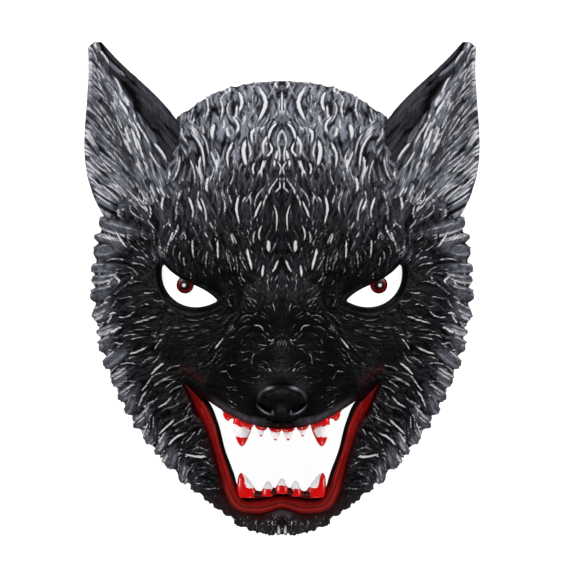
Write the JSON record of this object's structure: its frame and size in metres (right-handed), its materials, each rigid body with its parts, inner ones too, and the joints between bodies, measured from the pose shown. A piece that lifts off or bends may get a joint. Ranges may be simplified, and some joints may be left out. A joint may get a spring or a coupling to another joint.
{
  "type": "werewolf mask",
  "caption": "Hollow moulded werewolf half mask with sculpted black fur, cupped ears, slanted eyes, bare nose, open red-lipped mouth and teeth, lying face up on its rim.",
  "frame": {"origin": "middle of the underside of the bounding box, in the plane of the rim", "axes": "+X to the right of someone looking at the face, +Y from the chin to the ears, +Z out of the face"},
  "size_m": [0.215, 0.2719, 0.1049],
  "materials": {
    "black_fur": "satin black paint on moulded foam, dry-brushed with silver",
    "nose_black": "glossy black paint",
    "eye_white": "glossy",
    "iris_red": "glossy, with a black pupil",
    "lip_red": "satin dark red paint",
    "gum_red": "glossy blood red",
    "tooth_white": "glossy, red at the roots and some tips"
  },
  "bodies": {
    "root": {"face_shell": "black_fur", "left_ear": "black_fur", "right_ear": "black_fur", "nose": "nose_black", "left_eye": "eye_white", "right_eye": "eye_white", "left_iris": "iris_red", "right_iris": "iris_red", "lips": "lip_red", "upper_gum": "gum_red", "lower_gum": "gum_red", "lower_incisor": "tooth_white", "left_upper_incisor": "tooth_white", "right_upper_incisor": "tooth_white", "left_upper_side_incisor": "tooth_white", "right_upper_side_incisor": "tooth_white", "left_upper_canine": "tooth_white", "right_upper_canine": "tooth_white", "left_upper_premolar": "tooth_white", "right_upper_premolar": "tooth_white", "left_lower_side_incisor": "tooth_white", "right_lower_side_incisor": "tooth_white", "left_lower_canine": "tooth_white", "right_lower_canine": "tooth_white"}
  },
  "joints": []
}
